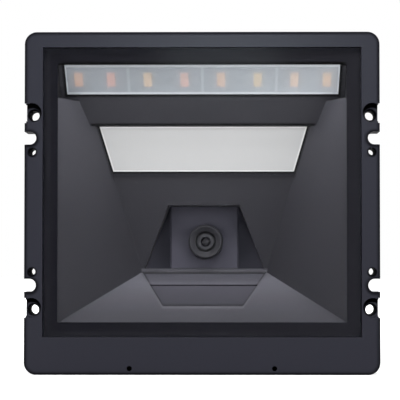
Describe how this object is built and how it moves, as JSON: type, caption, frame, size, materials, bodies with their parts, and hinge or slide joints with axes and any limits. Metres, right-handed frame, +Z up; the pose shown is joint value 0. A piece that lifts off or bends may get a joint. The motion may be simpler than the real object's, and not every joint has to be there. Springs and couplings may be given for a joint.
{
  "type": "barcode scanner",
  "caption": "Fixed-mount area barcode scanner with a square bezel, screw ears, wide window, faceted optical hood, light bar, white diffuser and camera.",
  "frame": {"origin": "centre of the four screw holes in the ears, on the ears' back face", "axes": "+X to the right and +Z up, seen from the front; the window faces -Y and the housing runs back along +Y"},
  "size_m": [0.115, 0.06, 0.111],
  "materials": {
    "bezel_plastic": "fine matte moulded, blue black",
    "hood_plastic": "fine matte moulded, charcoal",
    "insert_plastic": "fine matte moulded, blue charcoal",
    "housing_plastic": "fine matte moulded, black",
    "holder_plastic": "matte, black",
    "window_glass": "clear, polished",
    "frame_tape": "matte, black",
    "frosted_cover": "frosted, translucent grey",
    "white_diffuser": "satin, opal white",
    "reflector_white": "white reflector",
    "lamp_resin": "phosphor resin, orange",
    "board_green": "solder mask, green",
    "board_white": "solder mask, white",
    "lens_black": "black anodised, satin",
    "lens_glass": "coated optical glass",
    "sensor_chip": "chip package",
    "screw_steel": "zinc plated",
    "shield_steel": "tinned sheet",
    "contact_gold": "gold plated",
    "flex_film": "polyimide film, amber",
    "socket_plastic": "moulded, black",
    "connector_plastic": "moulded, natural",
    "seal_rubber": "matte, black"
  },
  "bodies": {
    "root": {"front_bezel": "bezel_plastic", "window_pane": "window_glass", "window_tape": "frame_tape", "optical_hood": "hood_plastic", "floor_insert": "insert_plastic", "light_bar_cover": "frosted_cover", "light_bar_tray": "reflector_white", "light_bar_board": "board_white", "light_bar_lamps": "lamp_resin", "diffuser_panel": "white_diffuser", "diffuser_light_box": "reflector_white", "diffuser_board": "board_green", "diffuser_lamps": "lamp_resin", "camera_holder": "holder_plastic", "lens_barrel": "lens_black", "lens_retainer": "lens_black", "lens_glass": "lens_glass", "image_sensor": "sensor_chip", "camera_board": "board_green", "camera_flex": "flex_film", "main_board": "board_green", "processor_shield": "shield_steel", "interface_socket": "socket_plastic", "socket_contacts": "contact_gold", "buzzer": "socket_plastic", "board_connectors": "connector_plastic", "light_flex": "flex_film", "rear_housing": "housing_plastic", "housing_seal": "seal_rubber", "hood_screws": "screw_steel", "housing_screws": "screw_steel", "camera_screws": "screw_steel", "diffuser_screws": "screw_steel", "main_board_screws": "screw_steel"}
  },
  "joints": []
}
